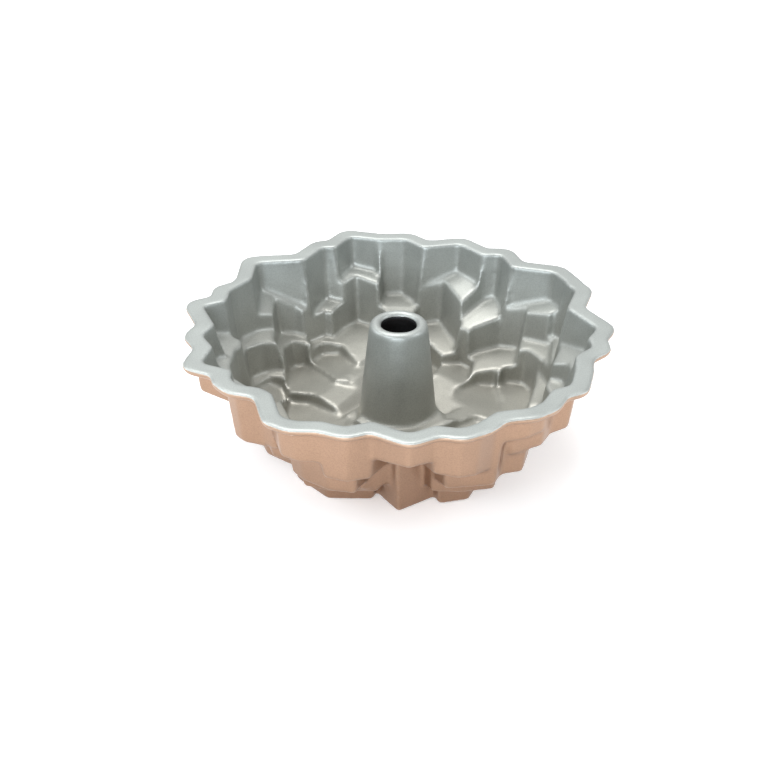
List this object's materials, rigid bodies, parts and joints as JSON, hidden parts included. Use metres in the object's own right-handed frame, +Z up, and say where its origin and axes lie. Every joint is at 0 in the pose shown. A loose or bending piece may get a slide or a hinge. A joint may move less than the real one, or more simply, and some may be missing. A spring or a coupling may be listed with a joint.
{
  "type": "bundt pan",
  "caption": "Cast ring pan with a petalled flower cavity, a flat scalloped rim and a bored centre tube, for baking ring cakes.",
  "frame": {"origin": "on the centre tube's axis, at the plane the pan stands on", "axes": "+Z up out of the mouth, along the tube; -Y towards the viewer of the front; +X to the viewer's right"},
  "size_m": [0.2658, 0.2674, 0.08],
  "materials": {
    "aluminium": "as-cast, satin",
    "lining": "satin silver-grey non-stick",
    "outer_finish": "satin rose-gold metallic"
  },
  "bodies": {
    "root": {"casting": "aluminium", "nonstick_lining": "lining", "outer_finish": "outer_finish"}
  },
  "joints": []
}
